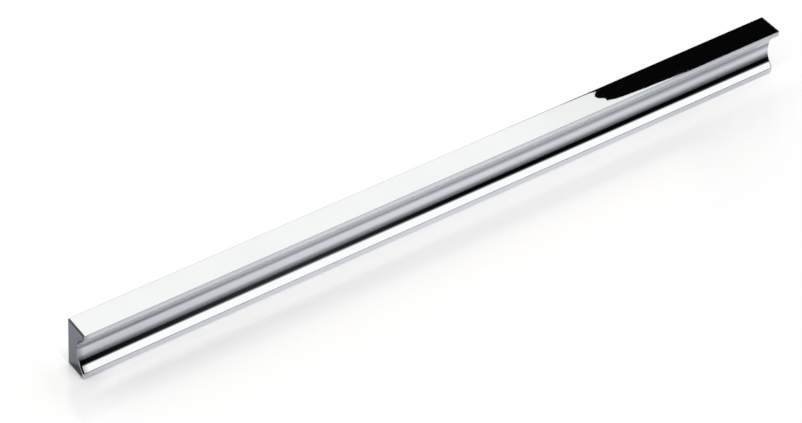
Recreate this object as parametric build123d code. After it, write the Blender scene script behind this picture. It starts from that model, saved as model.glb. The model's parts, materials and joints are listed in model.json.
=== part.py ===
from build123d import *
from math import radians, tan
import os

# Furniture handle: one solid bar of constant section, with a lip above a finger
# cove and a foot below it. All sizes are in millimetres. The bar lies along X,
# stands on its mounting face at Z = 0, and opens towards -Y.

# Length, set by the two fixing screws
screw_spacing = 320.0
end_overhang = 8.0  # from each screw's centre to the end of the bar

# Section, with every depth measured from the flat back
bar_height = 23.0  # how far the bar stands off the drawer front
lip_depth = 11.3
lip_face_height = 2.5  # the flat front of the lip
lip_underside_slope = 45.0  # degrees from level
lip_root_radius = 8.0  # hollow bend from the underside down to the web
web_thickness = 6.8  # the wall behind the cove
cove_radius = 10.5  # hollow sweep from the web down to the foot
foot_depth = 10.9
foot_face_height = 2.95  # the flat front of the foot
foot_slope = 49.5  # degrees from level
foot_edge_round = 0.6  # between the foot's front and its slope

# Polished edges
long_edge_round = 0.6
lip_edge_round = 0.3  # the crisper edge between the lip's front and the top
end_edge_round = 0.8

# Blind screw holes in the mounting face, tapped M4
screw_size = 4.0
thread_pitch = 0.7
hole_depth = 10.0  # full bore, without the drill's point
drill_point_angle = 118.0
mouth_chamfer = 0.35

bar_length = screw_spacing + 2 * end_overhang
bar_depth = max(lip_depth, foot_depth)
tapping_drill = screw_size - thread_pitch


def round_run(slope):
    """How far a round of radius 1 takes off each side of a corner between an upright and a slope."""
    return tan(radians(90.0 - slope) / 2)


def section():
    """The bar's end: X is the depth from the flat back, and Y is the height."""
    lip_low = bar_height - lip_face_height
    root_height = lip_low - (lip_depth - web_thickness) * tan(radians(lip_underside_slope))
    sweep_height = foot_face_height + (foot_depth - web_thickness) * tan(radians(foot_slope))
    upright = root_height - lip_root_radius * round_run(lip_underside_slope) - sweep_height
    sweep_radius = min(cove_radius, upright / round_run(foot_slope))
    corners = [
        ((0, 0), long_edge_round),
        ((foot_depth, 0), long_edge_round),
        ((foot_depth, foot_face_height), foot_edge_round),
        ((web_thickness, sweep_height), sweep_radius),
        ((web_thickness, root_height), lip_root_radius),
        ((lip_depth, lip_low), long_edge_round),
        ((lip_depth, bar_height), lip_edge_round),
        ((0, bar_height), long_edge_round),
    ]
    points = [point for point, radius in corners]
    radii = [radius for point, radius in corners]
    return make_face(FilletPolyline(*points, radius=radii, close=True))


def bar():
    """The section drawn out to the bar's length, with the edges of both ends rounded."""
    end_corner = (bar_length / 2, bar_depth / 2, 0)
    end_plane = Plane(origin=end_corner, x_dir=(0, -1, 0), z_dir=(-1, 0, 0))
    solid = extrude(end_plane * section(), amount=bar_length)
    ends = solid.faces().filter_by(Axis.X)
    return fillet(ends.edges(), end_edge_round)


def screw_hole(x):
    """One blind hole, drilled up into the middle of the web."""
    radius = tapping_drill / 2
    point_height = radius / tan(radians(drill_point_angle / 2))
    upward = (Align.CENTER, Align.CENTER, Align.MIN)
    bore = Cylinder(radius, hole_depth, align=upward)
    point = Cone(radius, 0, point_height, align=upward)
    mouth = Cone(radius + mouth_chamfer, radius, mouth_chamfer, align=upward)
    y = bar_depth / 2 - web_thickness / 2
    return Pos(x, y, 0) * (bore + Pos(0, 0, hole_depth) * point + mouth)


def handle_bar():
    """The whole handle."""
    holes = [screw_hole(side * screw_spacing / 2) for side in (-1, 1)]
    return bar() - holes


os.makedirs("parts", exist_ok=True)
export_step(handle_bar(), "parts/handle_bar.step")
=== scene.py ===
import json
from math import acos, ceil, cos, pi, radians, sin, tan

import bpy
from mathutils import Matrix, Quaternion, Vector
from mathutils.geometry import tessellate_polygon


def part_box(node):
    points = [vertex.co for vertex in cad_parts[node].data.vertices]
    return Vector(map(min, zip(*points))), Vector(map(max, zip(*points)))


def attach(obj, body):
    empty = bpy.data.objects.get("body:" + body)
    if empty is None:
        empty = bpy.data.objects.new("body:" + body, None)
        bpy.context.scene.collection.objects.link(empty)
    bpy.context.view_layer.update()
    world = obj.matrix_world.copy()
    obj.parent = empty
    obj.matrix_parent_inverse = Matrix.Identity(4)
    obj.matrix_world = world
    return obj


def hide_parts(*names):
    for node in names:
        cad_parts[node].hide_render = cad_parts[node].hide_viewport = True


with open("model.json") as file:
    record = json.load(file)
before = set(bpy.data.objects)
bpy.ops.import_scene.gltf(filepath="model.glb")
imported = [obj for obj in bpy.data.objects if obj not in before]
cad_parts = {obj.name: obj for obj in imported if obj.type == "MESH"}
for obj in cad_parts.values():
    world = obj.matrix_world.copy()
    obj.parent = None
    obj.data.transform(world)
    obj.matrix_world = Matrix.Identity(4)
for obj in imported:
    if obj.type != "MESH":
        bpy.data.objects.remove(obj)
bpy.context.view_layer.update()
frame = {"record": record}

# The drawn profile: one long bar of aluminium with a flat back and outer face, a thin lip, a hollow
# for the fingertips and a foot that flares to the mounting face. Depths are taken from the flat
# back, and heights from the mounting face at Z = 0.
mm = 0.001
low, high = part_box("handle_bar")
bar_height = high.z - low.z
lip_depth = high.y - low.y
lip_face_height = 2.5 * mm
lip_underside_slope = radians(45)
lip_root_round = 8.0 * mm
web_thickness = 6.8 * mm
cove_round = 10.5 * mm
foot_depth = 10.9 * mm
foot_face_height = 2.95 * mm
foot_slope = radians(49.5)
foot_edge_round = 0.6 * mm
long_edge_round = 0.6 * mm
lip_edge_round = 0.3 * mm
sharpest_round = 0.02 * mm
widest_step = radians(3.0)  # between neighbouring points of a round

lip_low = bar_height - lip_face_height
web_top = lip_low - (lip_depth - web_thickness) * tan(lip_underside_slope)
web_foot = foot_face_height + (foot_depth - web_thickness) * tan(foot_slope)
corners = [
    (Vector((0, 0)), long_edge_round),
    (Vector((foot_depth, 0)), long_edge_round),
    (Vector((foot_depth, foot_face_height)), foot_edge_round),
    (Vector((web_thickness, web_foot)), cove_round),
    (Vector((web_thickness, web_top)), lip_root_round),
    (Vector((lip_depth, lip_low)), long_edge_round),
    (Vector((lip_depth, bar_height)), lip_edge_round),
    (Vector((0, bar_height)), long_edge_round),
]


def rounded(number, inset):
    """One rounded corner, drawn in by the inset: its points, each with the way out of the metal."""
    corner, radius = corners[number]
    to_before = (corners[number - 1][0] - corner).normalized()
    to_after = (corners[(number + 1) % len(corners)][0] - corner).normalized()
    half_angle = acos(to_before.dot(to_after)) / 2
    side = 1 if to_after.cross(to_before) > 0 else -1
    corner = corner + side * inset / sin(2 * half_angle) * (to_before + to_after)
    radius = max(radius - side * inset, sharpest_round)
    centre = corner + (to_before + to_after).normalized() * radius / sin(half_angle)
    first = corner + to_before * radius / tan(half_angle) - centre
    swing = pi - 2 * half_angle
    steps = ceil(swing / widest_step)
    arc = []
    for step in range(steps + 1):
        angle = side * swing * step / steps
        spoke = Vector((
            first.x * cos(angle) - first.y * sin(angle),
            first.x * sin(angle) + first.y * cos(angle),
        ))
        arc.append((centre + spoke, side * spoke.normalized()))
    return arc


def outline(inset):
    """The whole section, drawn in by the inset."""
    return [spot for number in range(len(corners)) for spot in rounded(number, inset)]


outline_length = len(outline(0))
mounting_run = len(rounded(0, 0)) - 1  # the flat of the mounting face starts at this point

# The length and its ends: the bar is sawn square, and the sharp edges of both ends are broken all
# round before it is polished. The mesh is one ring of the section at each station of the length.
bar_length = high.x - low.x
end_edge_round = 0.8 * mm
end_steps = 12  # rings in the round of one end
middle_steps = 24
screw_mount = frame["record"]["mounts"][0]
hole_from_middle = screw_mount["dims"]["spacing_x_mm"] * mm / 2
hole_patch = 4.0 * mm  # half the length of the flat that is kept round each hole

points = []
facing = []  # which way the surface faces at each point
shell = []
hole_patches = []


def ring(x, lean):
    """Adds the section at x, where the surface leans to the end, and gives its first point."""
    start = len(points)
    endwards = sin(lean) if x > 0 else -sin(lean)
    for spot, outward in outline(end_edge_round * (1 - cos(lean))):
        points.append(Vector((x, lip_depth / 2 - spot.x, spot.y)))
        facing.append(Vector((endwards, -outward.x * cos(lean), outward.y * cos(lean))))
    return start


end_stations = []
for step in range(end_steps + 1):
    lean = radians(90) * (1 - step / end_steps)
    end_stations.append((bar_length / 2 - end_edge_round * (1 - sin(lean)), lean))
end_stations.append((hole_from_middle + hole_patch, 0.0))
inner_edge = hole_from_middle - hole_patch
stations = [(-x, lean) for x, lean in end_stations]
stations += [(inner_edge * (2 * step / middle_steps - 1), 0.0) for step in range(middle_steps + 1)]
stations += reversed(end_stations)
rings = [ring(x, lean) for x, lean in stations]

shell.append([rings[0] + k for k in range(outline_length)])
for left, right in zip(rings, rings[1:]):
    middle = (points[left].x + points[right].x) / 2
    over_hole = abs(abs(middle) - hole_from_middle) < hole_patch
    for k in range(outline_length):
        ahead = (k + 1) % outline_length
        cell = [right + k, right + ahead, left + ahead, left + k]
        if over_hole and k == mounting_run:
            hole_patches.append(cell)
        else:
            shell.append(cell)
shell.append([rings[-1] + k for k in reversed(range(outline_length))])

# The two screw holes: each is drilled up into the middle of the web, countersunk a little at its
# mouth and tapped M4. A screw through the drawer front draws the mounting face against it.
bore_radius = screw_mount["dims"]["hole_r_mm"] * mm
screw_radius = 2.0 * mm
thread_pitch = 0.7 * mm
thread_angle = radians(60)
bore_depth = 10.0 * mm
tapped_depth = 8.6 * mm
drill_point_angle = radians(118)
groove_depth = screw_radius - bore_radius
groove_root = thread_pitch / 8  # the flat at the bottom of the groove
groove_flank = groove_depth * tan(thread_angle / 2)
drill_point = bore_radius / tan(drill_point_angle / 2)
hole_sides = 40
rows_to_a_turn = 8
hole_y = screw_mount["pos_m"][1]

hole_faces = []
rims = set()


def bore_at(turn, height):
    """The tapped bore's radius at a share of a turn and a height above the mounting face."""
    along = (height / thread_pitch - turn) % 1
    past_root = abs(along - 0.5) * thread_pitch - groove_root / 2
    cut = min(max(1 - past_root / groove_flank, 0), 1)
    run_out = min(max((tapped_depth - height) / thread_pitch, 0), 1)
    countersink = screw_radius - height
    return max(bore_radius + groove_depth * cut * run_out, countersink)


def screw_hole(patch):
    """Cuts the mouth in its patch of the mounting face, and adds the tapped wall and the drill's point."""
    hole_x = (points[patch[0]].x + points[patch[2]].x) / 2
    rows = ceil(bore_depth / thread_pitch * rows_to_a_turn)
    first = len(points)
    for row in range(rows + 1):
        height = bore_depth * row / rows
        for side in range(hole_sides):
            turn = side / hole_sides
            reach = screw_radius if row == 0 else bore_at(turn, height)
            spoke = Vector((cos(2 * pi * turn), sin(2 * pi * turn), 0)) * reach
            points.append(Vector((hole_x, hole_y, height)) + spoke)
            facing.append(Vector((0, 0, -1)))
    points.append(Vector((hole_x, hole_y, bore_depth + drill_point)))
    facing.append(Vector((0, 0, -1)))
    mouth = list(range(first, first + hole_sides))
    rims.update(mouth)
    loops = patch + mouth
    for triangle in tessellate_polygon([[points[k] for k in patch], [points[k] for k in mouth]]):
        a, b, c = (loops[k] for k in triangle)
        faces_down = (points[b] - points[a]).cross(points[c] - points[a]).z < 0
        shell.append([a, b, c] if faces_down else [a, c, b])
    for row in range(rows):
        for side in range(hole_sides):
            here = first + row * hole_sides + side
            beside = first + row * hole_sides + (side + 1) % hole_sides
            hole_faces.append([here, here + hole_sides, beside + hole_sides, beside])
    top = first + rows * hole_sides
    for side in range(hole_sides):
        hole_faces.append([top + side, len(points) - 1, top + (side + 1) % hole_sides])


for patch in hole_patches:
    screw_hole(patch)

bar_mesh = bpy.data.meshes.new("handle_bar_polished")
bar_mesh.from_pydata(points, [], shell + hole_faces)
for polygon in bar_mesh.polygons:
    polygon.use_smooth = True
for edge in bar_mesh.edges:
    edge.use_edge_sharp = rims.issuperset(edge.vertices)
own_shading = Vector((0, 0, 0))  # leaves a corner to the mesh's own smooth shading
corner_facing = [facing[k] for face in shell for k in face]
corner_facing += [own_shading for face in hole_faces for k in face]
bar_mesh.normals_split_custom_set(corner_facing)
bar = bpy.data.objects.new("handle_bar_polished", bar_mesh)
bpy.context.collection.objects.link(bar)
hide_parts("handle_bar")
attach(bar, "root")

# The chrome: the bar is buffed along its length and plated all over, so it mirrors what stands
# round it. Shade is painted into its colour: a dark line in the bend under the lip, a band up the
# lip's underside, the end of the hollow near the near end and the outer face past the middle. The
# tapped holes stay bare metal.
chrome_tint = (0.675, 0.700, 0.735, 1)
chrome_shade = (0.655, 0.683, 0.722, 1)
shade_black = (0, 0, 0, 1)  # mixed into the tint where shade is painted
bare_metal = (0.50, 0.50, 0.49, 1)
mirror_roughness = 0.006
haze_roughness = 0.012
bare_roughness = 0.38
hole_margin = 0.02 * mm
buffing_stretch = (0.04, 1, 1)
buffing_scale = 1400
buffing_relief = 0.02
haze_scale = 60
haze_limits = (0.42, 0.72)
waves_scale = 45
waves_relief = 0.8
relief_depth = 0.004 * mm

root_line = 13.2 * mm  # where the painted shade line in the bend under the lip is darkest
root_above = 1.9 * mm
near_root_below = 1.9 * mm
far_root_below = 2.8 * mm
root_widens = (-60 * mm, 60 * mm)
root_sides = (0.3 * mm, 0.8 * mm)  # in front of the web's wall and into it
root_shade = 0.56
near_root_shade = 0.12  # more of it towards the near end
near_root_fades = (-150 * mm, -80 * mm)
under_lip_front = (0.2 * mm, 0.6 * mm)
under_lip_band = (0.2 * mm, 0.6 * mm, 5.3 * mm, 7.3 * mm)  # up the underside from the root line
under_lip_shade = 0.13

near_end_shade = 0.4
near_end_along = (0.005 * mm, 0.03 * mm, 0.6 * mm, 3.2 * mm)
near_end_above = (mm, 3 * mm, bar_height - mm, bar_height)
near_end_front = (-2 * mm, -mm)
low_clear_edge = 0.1 * mm  # the painted shade leaves the end's edge clear low down, and covers it higher up
high_clear_edge = -0.4 * mm
clear_edge_turns = (5.5 * mm, 8.5 * mm)
clear_edge_softness = 0.5 * mm
far_top_shade = 0.08  # painted shade: the outer face a little darker past the middle
far_top_starts = (20 * mm, 90 * mm)
far_top_edge = (bar_height - 0.2 * mm, bar_height)


class Wire:
    """What comes out of a node, so that sums are written with it as they are with numbers."""

    def __init__(self, finish, socket):
        self.finish = finish
        self.socket = socket

    def maths(self, operation, *terms):
        """One Math node's result from these terms."""
        return self.finish.node("Math", {"operation": operation}, dict(enumerate(terms)))

    def __add__(self, other):
        return self.maths("ADD", self, other)

    def __sub__(self, other):
        return self.maths("SUBTRACT", self, other)

    def __rsub__(self, other):
        return self.maths("SUBTRACT", other, self)

    def __mul__(self, other):
        return self.maths("MULTIPLY", self, other)

    def __rtruediv__(self, other):
        return self.maths("DIVIDE", other, self)

    def __pow__(self, power):
        return self.maths("POWER", self, power)

    def __abs__(self):
        return self.maths("ABSOLUTE", self)

    def __lt__(self, other):
        return self.maths("LESS_THAN", self, other)

    def at_least(self, floor):
        return self.maths("MAXIMUM", self, floor)

    def at_most(self, ceiling):
        return self.maths("MINIMUM", self, ceiling)

    __radd__ = __add__
    __rmul__ = __mul__


class Finish:
    """The nodes of one material or of the room, with the few mixtures that are used often."""

    def __init__(self, owner):
        owner.use_nodes = True
        self.tree = owner.node_tree
        self.tree.nodes.clear()

    def node(self, kind, settings, sockets, output=0):
        """Adds a node, its settings first and then its sockets, and gives what comes out."""
        added = self.tree.nodes.new("ShaderNode" + kind)
        for name, setting in settings.items():
            setattr(added, name, setting)
        for name, value in sockets.items():
            if isinstance(value, Wire):
                self.tree.links.new(value.socket, added.inputs[name])
            else:
                added.inputs[name].default_value = value
        return Wire(self, added.outputs[output]) if added.outputs else None

    def spot(self):
        """The shaded point's place in the object's own frame."""
        return self.node("TexCoord", {}, {}, output="Object")

    def place(self):
        """Where the shaded point lies along the bar, across it and above the table."""
        spot = self.spot()
        return [self.node("SeparateXYZ", {}, {"Vector": spot}, output=axis) for axis in "XYZ"]

    def ray(self, kind):
        """1 for rays of this kind, such as those of the camera, and 0 for others."""
        return self.node("LightPath", {}, {}, output=f"Is {kind} Ray")

    def ramp(self, value, start, end, to_start=0.0, to_end=1.0):
        """Eases from one value to another while the input goes from start to end."""
        limits = {"Value": value, "From Min": start, "From Max": end}
        results = {"To Min": to_start, "To Max": to_end}
        return self.node("MapRange", {"interpolation_type": "SMOOTHSTEP"}, limits | results)

    def band(self, value, start, full, fading, end):
        """Eases up to 1 between the first two limits and down to 0 between the last two."""
        return self.ramp(value, start, full) * self.ramp(value, fading, end, 1, 0)

    def grey(self, tone):
        """A grey as light as the tone, which is a number or changes over the surface."""
        if isinstance(tone, Wire):
            return self.node("CombineXYZ", {}, {"X": tone, "Y": tone, "Z": tone})
        return (tone, tone, tone, 1)

    def blend(self, share, first, second):
        """A colour between two, nearer the second as the share grows."""
        colours = {6: first, 7: second}  # a Mix node's sockets for colours
        return self.node("Mix", {"data_type": "RGBA"}, {0: share} | colours, output=2)

    def tinted(self, colour, tint):
        """A colour with a tint laid over it, or a place stretched along each axis."""
        return self.node("VectorMath", {"operation": "MULTIPLY"}, {0: colour, 1: tint})

    def noise(self, spot, scale, detail, roughness):
        """Cloudy marks, finer as the scale grows."""
        marks = {"Vector": spot, "Scale": scale, "Detail": detail, "Roughness": roughness}
        return self.node("TexNoise", {}, marks)

    def glow(self, tone):
        """A surface that scatters no light and gives out a grey of this tone."""
        return self.node("BsdfPrincipled", {}, {
            "Base Color": (0, 0, 0, 1),
            "Specular IOR Level": 0,
            "Emission Color": self.grey(tone),
            "Emission Strength": 1,
        })


chrome = bpy.data.materials.new("polished_chrome")
finish = Finish(chrome)
along, across, above = finish.place()
from_axis = ((abs(along) - hole_from_middle) ** 2 + (across - hole_y) ** 2) ** 0.5
below_point = above < bore_depth + drill_point + hole_margin
in_hole = (from_axis < screw_radius + hole_margin) * below_point

spot = finish.spot()
along_bar = finish.tinted(spot, buffing_stretch)
buffing = finish.noise(along_bar, buffing_scale, detail=4, roughness=0.6)
haze = finish.ramp(finish.noise(spot, haze_scale, detail=5, roughness=0.65), *haze_limits)
waves = finish.noise(spot, waves_scale, detail=1, roughness=0.5)
mirror = mirror_roughness + haze_roughness * haze * buffing
relief = waves * waves_relief + buffing * buffing_relief
settled = finish.node("Bump", {}, {"Strength": 1, "Distance": relief_depth, "Height": relief})

before_web = lip_depth / 2 - web_thickness - across  # how far the point stands out from the web's wall
# painted shade: a dark line in the bend under the lip, and a band up the lip's underside
from_root = above - root_line
root_below = finish.ramp(along, *root_widens, near_root_below, far_root_below)
in_root = finish.ramp(from_root, 0, root_above, 1, 0)
in_root = in_root * finish.ramp(from_root + root_below, 0, root_below)
in_root = in_root * finish.ramp(abs(before_web), *root_sides, 1, 0)
shade_here = root_shade + finish.ramp(along, *near_root_fades, near_root_shade, 0)
under_lip = finish.ramp(before_web, *under_lip_front) * finish.band(from_root, *under_lip_band)

# painted shade over the end of the hollow at the near end, and over the outer face past the middle
from_end = along + bar_length / 2
past_edge = from_end - finish.ramp(above, *clear_edge_turns, low_clear_edge, high_clear_edge)
near_end = finish.ramp(past_edge, 0, clear_edge_softness) * finish.band(from_end, *near_end_along)
near_end = near_end * finish.ramp(before_web, *near_end_front) * finish.band(above, *near_end_above)
far_top = finish.ramp(along, *far_top_starts) * finish.ramp(above, *far_top_edge)

# all the painted shade, mixed towards black in the chrome's tint
painted_shade = in_root * shade_here + under_lip * under_lip_shade + far_top * far_top_shade
painted_shade = painted_shade.at_least(near_end * near_end_shade)
tint_and_painted_shade = finish.blend(haze, chrome_tint, chrome_shade)
tint_and_painted_shade = finish.blend(painted_shade, tint_and_painted_shade, shade_black)
plated = finish.node("BsdfPrincipled", {}, {
    "Base Color": finish.blend(in_hole, tint_and_painted_shade, bare_metal),
    "Metallic": 1,
    "Roughness": mirror * (1 - in_hole) + bare_roughness * in_hole,
    "Normal": settled,
})
finish.node("OutputMaterial", {}, {"Surface": plated})
bar_mesh.materials.append(chrome)

# The white table: a smooth sheet of white acrylic that the bar lies on, glossy enough to mirror it
# faintly. Close round the bar the camera sees the sheet and its soft shadow, and further off only
# white. What the mirror sees of the sheet is painted dimmer away from the bar and dark beside the
# near end, and a painted glow on the sheet stands for light that the foot and the near end throw
# back. A strip of black tape past the near end is there for the mirror alone.
foot_front = foot_depth - lip_depth / 2
sheet_half = 3.0
sheet_white = 0.96
sheet_gloss = 0.10
sheet_cast = (0.985, 1.0, 1.045, 1)
mirrored_cast = (0.985, 1.0, 1.06, 1)
mirrored_dim_cast = (0.98, 1.0, 1.14, 1)

dim_starts = 13.4 * mm  # painted shade: in the mirror, the sheet is painted dimmer away from the bar
dim_run = 5.2 * mm
dim_rest = 0.39
dim_ends = 5.3
dim_ends_least = 0.6

end_line = 0.3 * mm  # painted shade: beside the near end, the mirror sees a painted dark patch
end_softness = 2 * mm
end_spread = 0.6  # how it narrows away from the end
end_dark = 0.115
end_grey = 0.285
end_grey_starts = (4.5 * mm, 7.5 * mm)
end_grey_slant = 1.3
end_grey_front = -3 * mm
end_far = 0.55
end_far_starts = (16 * mm, 30 * mm)

bounce = 0.19  # painted light: a glow on the sheet for the light that the foot throws back
bounce_starts = (-4 * mm, 0)
bounce_fades = 3 * mm
near_bounce_reach = 12 * mm
far_bounce_reach = 15.7 * mm
bounce_widens = (-150 * mm, 60 * mm)
bounce_slant = 0.8
bounce_stops = (-20 * mm, -6 * mm)
end_bounce = 0.10  # and a painted glow for the light that the near end throws back
end_bounce_band = (0, end_line, mm, 12 * mm)
end_bounce_front = (-3 * mm, 3 * mm)

white_starts = 4 * mm  # round the bar, where the sheet goes over to plain white
white_ends = 75 * mm
white_slant = 0.82
white_haste = 1.6
back_white_haste = 8
far_white_starts = 85 * mm
far_white_haste = 0.5
mirrored_white = (0.4, 0.8)

tape_black = 0.018
tape_middle = 22.25 * mm
tape_half_width = 3.75 * mm
tape_across = -8 * mm
tape_half_length = 12 * mm


def flat_piece(name, spots, material):
    """A flat piece of the studio with these corners."""
    mesh = bpy.data.meshes.new(name)
    mesh.from_pydata(spots, [], [range(len(spots))])
    mesh.materials.append(material)
    piece = bpy.data.objects.new(name, mesh)
    bpy.context.collection.objects.link(piece)
    return piece


acrylic = bpy.data.materials.new("white_acrylic")
finish = Finish(acrylic)
along, across, above = finish.place()
sees_camera = finish.ray("Camera")
sees_glossy = finish.ray("Glossy")
past_end = (-bar_length / 2 - along).at_least(0)
in_front = -foot_front - across

# painted shade, seen only in the mirror: the sheet dimmer away from the bar and dark beside the near end
from_web = abs(in_front + foot_depth - web_thickness)
dim = dim_run / (from_web - dim_starts).at_least(mm) + dim_rest
mirrored = dim.at_most(sheet_white) * (1 - dim_ends * along ** 2).at_least(dim_ends_least)
tone = sheet_white * (1 - sees_glossy) + mirrored * sees_glossy
behind_end = finish.ramp(across + lip_depth / 2 - end_spread * past_end, 0, end_softness)
beside_end = finish.ramp(past_end, 0, end_line) * behind_end * sees_glossy
off_corner = across.at_least(end_grey_front) + end_grey_slant * past_end
end_tone = finish.ramp(off_corner, *end_grey_starts, end_dark, end_grey)
end_tone = end_tone * finish.ramp(past_end, *end_far_starts, 1, end_far)
tone = tone * (1 - beside_end) + end_tone * beside_end

# painted light: a glow on the sheet in front of the foot and beside the near end
bounce_reach = finish.ramp(along, *bounce_widens, near_bounce_reach, far_bounce_reach)
painted_bounce = bounce * finish.band(in_front, *bounce_starts, bounce_fades, bounce_reach)
off_slant = bounce_slant * across - along - bar_length / 2
painted_bounce = painted_bounce * finish.ramp(off_slant, *bounce_stops, 1, 0)
painted_end_bounce = end_bounce * finish.band(past_end, *end_bounce_band)
painted_end_bounce = painted_end_bounce * finish.ramp(in_front, *end_bounce_front, 1, 0)
painted_bounce = painted_bounce + painted_end_bounce * (1 - sees_glossy)

seen_cast = finish.blend(finish.ramp(tone, dim_rest, sheet_white), mirrored_dim_cast, mirrored_cast)
seen_cast = finish.blend(sees_glossy, sheet_cast, seen_cast)
sheet = finish.node("BsdfPrincipled", {}, {
    "Base Color": finish.tinted(finish.grey(tone), seen_cast),
    "Roughness": sheet_gloss,
    "IOR": 1.5,
    "Emission Color": finish.grey(painted_bounce),
    "Emission Strength": 1,
})

past_slant = (abs(along - white_slant * across) - bar_length / 2).at_least(0) * white_haste
off_side = in_front.at_least((across - lip_depth / 2) * back_white_haste).at_least(0)
past_far = (along - far_white_starts).at_least(0) * far_white_haste
from_bar = (past_slant ** 2 + past_far ** 2 + off_side ** 2) ** 0.5
to_camera = finish.ramp(from_bar, white_starts, white_ends) * sees_camera
to_mirror = finish.ramp(in_front, *mirrored_white) * sees_glossy
cleared = finish.node("BsdfTransparent", {}, {})
table = finish.node("MixShader", {}, {0: to_camera + to_mirror, 1: sheet, 2: cleared})

on_tape = abs(past_end - tape_middle) < tape_half_width
on_tape = on_tape * (abs(across - tape_across) < tape_half_length) * sees_glossy
table = finish.node("MixShader", {}, {0: on_tape, 1: table, 2: finish.glow(tape_black)})
finish.node("OutputMaterial", {}, {"Surface": table})
sheet_corners = [(-1, -1), (1, -1), (1, 1), (-1, 1)]
flat_piece("table_sheet", [(x * sheet_half, y * sheet_half, 0) for x, y in sheet_corners], acrylic)

# The white room: painted walls stand all round at some distance, and fill the shadows with even
# light. The camera, the mirror and what shows through the sheet see them plain white.
room_light = 0.80

room = bpy.data.worlds.new("white_room")
bpy.context.scene.world = room
finish = Finish(room)
seen = (finish.ray("Camera") + finish.ray("Glossy") + finish.ray("Transmission")).at_most(1)
walls = finish.node("Background", {}, {"Color": (1, 1, 1, 1), "Strength": 1})
even_light = finish.node("Background", {}, {"Color": (1, 1, 1, 1), "Strength": room_light})
around = finish.node("MixShader", {}, {0: seen, 1: even_light, 2: walls})
finish.node("OutputWorld", {}, {"Surface": around})

# The two softboxes: broad cloth boxes that hang level over the table, edge to edge above the bar.
# The back one fills the mirror of the outer face, and the front one whitens the foot.
softbox_height = 1.0
softbox_middle = 0.3
softbox_length = 2.8
back_reach = 1.45
front_reach = 2.3
back_light = (1.0, 0.93, 0.70)
front_light = (1.0, 0.90, 0.76)
back_glow = 0.35
front_glow = 0.43


def softbox(name, start, end, glow, colour):
    """An even rectangle of light, from one line across the table to another, facing down."""
    lamp = bpy.data.lights.new(name, "AREA")
    lamp.shape = "RECTANGLE"
    lamp.size = softbox_length
    lamp.size_y = end - start
    lamp.color = colour
    lamp.energy = glow * pi * lamp.size * lamp.size_y
    box = bpy.data.objects.new(name, lamp)
    box.location = (softbox_middle, (start + end) / 2, softbox_height)
    box.visible_camera = False
    bpy.context.collection.objects.link(box)


softbox("back_softbox", 0, back_reach, back_glow, back_light)
softbox("front_softbox", -front_reach, 0, front_glow, front_light)

# The black flags: cards of black velvet and of faded grey paper give the mirror its dark lines. None
# is lit: each gives out a painted tone of its own. A long one stands in front of the bar and one
# beyond each end. Two hang overhead: one darkens the far end of the outer face, and the other greys
# what the near end sees.
velvet_black = 0.0028

front_line = -0.25
front_half = 1.2
front_top = 0.35
fade_height = 0.098  # where the front card is half faded, at its lowest
fade_half = 0.028
fade_middle = 0.07
fade_rise = 0.09
left_rise = 10
left_rise_from = 0.05
# painted light on the front card: a glow along its foot and a sheen near its middle
foot_glow = 0.10
foot_glow_top = 0.020
sheen = 0.030
sheen_middle = 0.035
sheen_half = 0.12

left_line = -0.45
left_front = -0.70
left_back = 0.90
left_top = 0.50
grey_lines = (-0.10, 0.25)  # across the table, where the grey cards go from dark to light
grey_dark = 0.004
grey_light = 0.13

right_line = 0.60
right_front = -0.20
right_back = 0.80
right_top = 0.24

overhead = 0.5
torn_corner = [  # the part of the overhead card's edge that the outer face mirrors
    (0.4448, 0.4177), (0.4666, 0.4170), (0.4702, 0.4166), (0.4735, 0.4161), (0.4708, 0.4144),
    (0.4695, 0.4125), (0.4702, 0.4101), (0.4742, 0.4077), (0.4741, 0.4052), (0.4780, 0.4042),
    (0.4834, 0.4032), (0.4900, 0.4027), (0.5040, 0.4019), (0.5180, 0.4012), (0.5400, 0.4006),
]
cut_edge = [
    (0.475, 0.27), (0.446, 0.17), (0.426, 0.0), (0.475, -0.275), (0.56, -0.5), (0.60, -0.6),
    (0.80, -0.6), (0.80, 0.60), (1.10, 1.40), (0.84, 1.40), (0.485, 0.60),
]
left_overhead = [(-0.60, 0.10), (-0.10, 0.10), (-0.10, 0.60), (-0.60, 0.60)]

velvet = bpy.data.materials.new("black_velvet")
finish = Finish(velvet)
finish.node("OutputMaterial", {}, {"Surface": finish.glow(velvet_black)})

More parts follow.
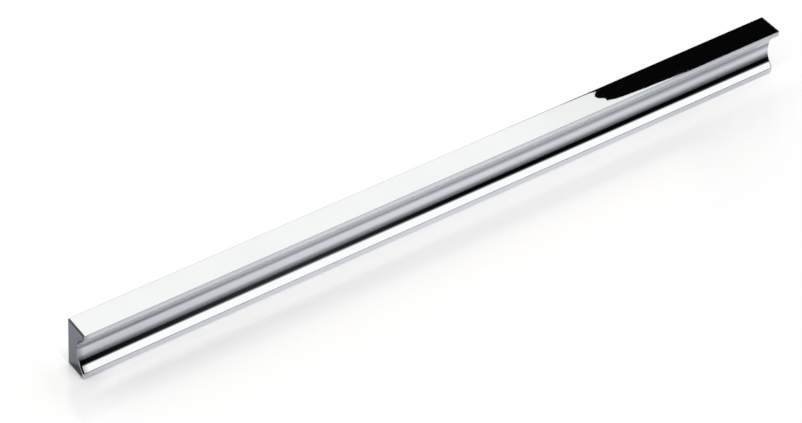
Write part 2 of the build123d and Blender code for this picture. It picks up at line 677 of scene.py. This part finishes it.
faded_card = bpy.data.materials.new("faded_card")
finish = Finish(faded_card)
along, across, above = finish.place()
shine = velvet_black + sheen * finish.ramp(abs(along - sheen_middle), 0, sheen_half, 1, 0)
shine = shine + finish.ramp(above, 0, foot_glow_top, foot_glow, 0)
leftwards = (left_rise_from - along).at_least(0)
over_edge = above - abs(along - fade_middle) * fade_rise - leftwards ** 3 * left_rise - fade_height
fade = finish.ramp(over_edge, -fade_half, fade_half)
open_air = finish.node("BsdfTransparent", {}, {})
faded = finish.node("MixShader", {}, {0: fade, 1: finish.glow(shine), 2: open_air})
finish.node("OutputMaterial", {}, {"Surface": faded})

grey_card = bpy.data.materials.new("grey_card")
finish = Finish(grey_card)
along, across, above = finish.place()
shine = finish.ramp(across, *grey_lines, grey_dark, grey_light)
finish.node("OutputMaterial", {}, {"Surface": finish.glow(shine)})


def flag(name, spots, material):
    """A card that only the mirror sees."""
    card = flat_piece(name, spots, material)
    card.visible_camera = False
    card.visible_diffuse = False
    card.visible_shadow = False


def standing(start, end, top):
    """The corners of a card that stands on the table from one spot to another."""
    return [(*start, 0), (*end, 0), (*end, top), (*start, top)]


flag("front_flag", standing((-front_half, front_line), (front_half, front_line), front_top), faded_card)
flag("left_flag", standing((left_line, left_front), (left_line, left_back), left_top), grey_card)
flag("right_flag", standing((right_line, right_front), (right_line, right_back), right_top), velvet)
flag("overhead_flag", [(x, y, overhead) for x, y in torn_corner + cut_edge], velvet)
flag("left_overhead_flag", [(x, y, overhead) for x, y in left_overhead], grey_card)

# The camera: a long lens looks down on the bar from its front left, rolled so that the bar rises
# to the right across the picture.
camera_aim = Vector((-22.80, -2.42, 11.5)) * mm
camera_distance = 1159.8 * mm
camera_heading = radians(39.266)  # from +Y towards +X
camera_dip = radians(42.569)
camera_roll = radians(5.115)
lens_mm = 134.333
film_width_mm = 36
nearest_seen = 0.05
farthest_seen = 20

looking = Vector((
    sin(camera_heading) * cos(camera_dip),
    cos(camera_heading) * cos(camera_dip),
    -sin(camera_dip),
))
lens = bpy.data.cameras.new("camera")
lens.lens = lens_mm
lens.sensor_width = film_width_mm
lens.clip_start = nearest_seen
lens.clip_end = farthest_seen
camera = bpy.data.objects.new("camera", lens)
camera.location = camera_aim - looking * camera_distance
camera.rotation_mode = "QUATERNION"
camera.rotation_quaternion = looking.to_track_quat("-Z", "Y") @ Quaternion((0, 0, 1), camera_roll)
bpy.context.collection.objects.link(camera)
bpy.context.scene.camera = camera
bpy.context.scene.view_settings.view_transform = "Standard"
